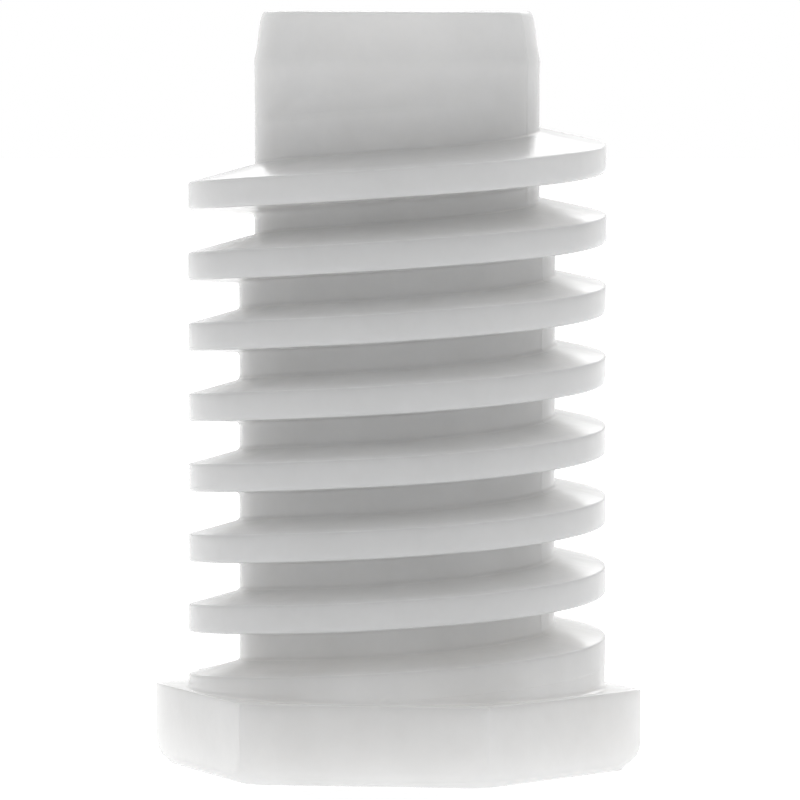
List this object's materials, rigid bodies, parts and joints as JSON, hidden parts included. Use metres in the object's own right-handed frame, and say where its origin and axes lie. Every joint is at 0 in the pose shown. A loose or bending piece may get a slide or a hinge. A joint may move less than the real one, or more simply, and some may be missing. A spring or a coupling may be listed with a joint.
{
  "type": "wall anchor",
  "caption": "Moulded plastic screw-in wall anchor with a hexagon head, a coarse helical thread, a smooth nose and a plain bore for a screw.",
  "frame": {"origin": "centre of the hexagon head's outer face, on the axis of the screw bore", "axes": "+Z along the axis from the head to the nose, which enters the wall first; a corner of the hexagon lies on +X"},
  "size_m": [0.022, 0.019, 0.0338],
  "materials": {
    "nylon": "natural white nylon as moulded, translucent, satin"
  },
  "bodies": {
    "root": {"anchor_body": "nylon"}
  },
  "joints": []
}
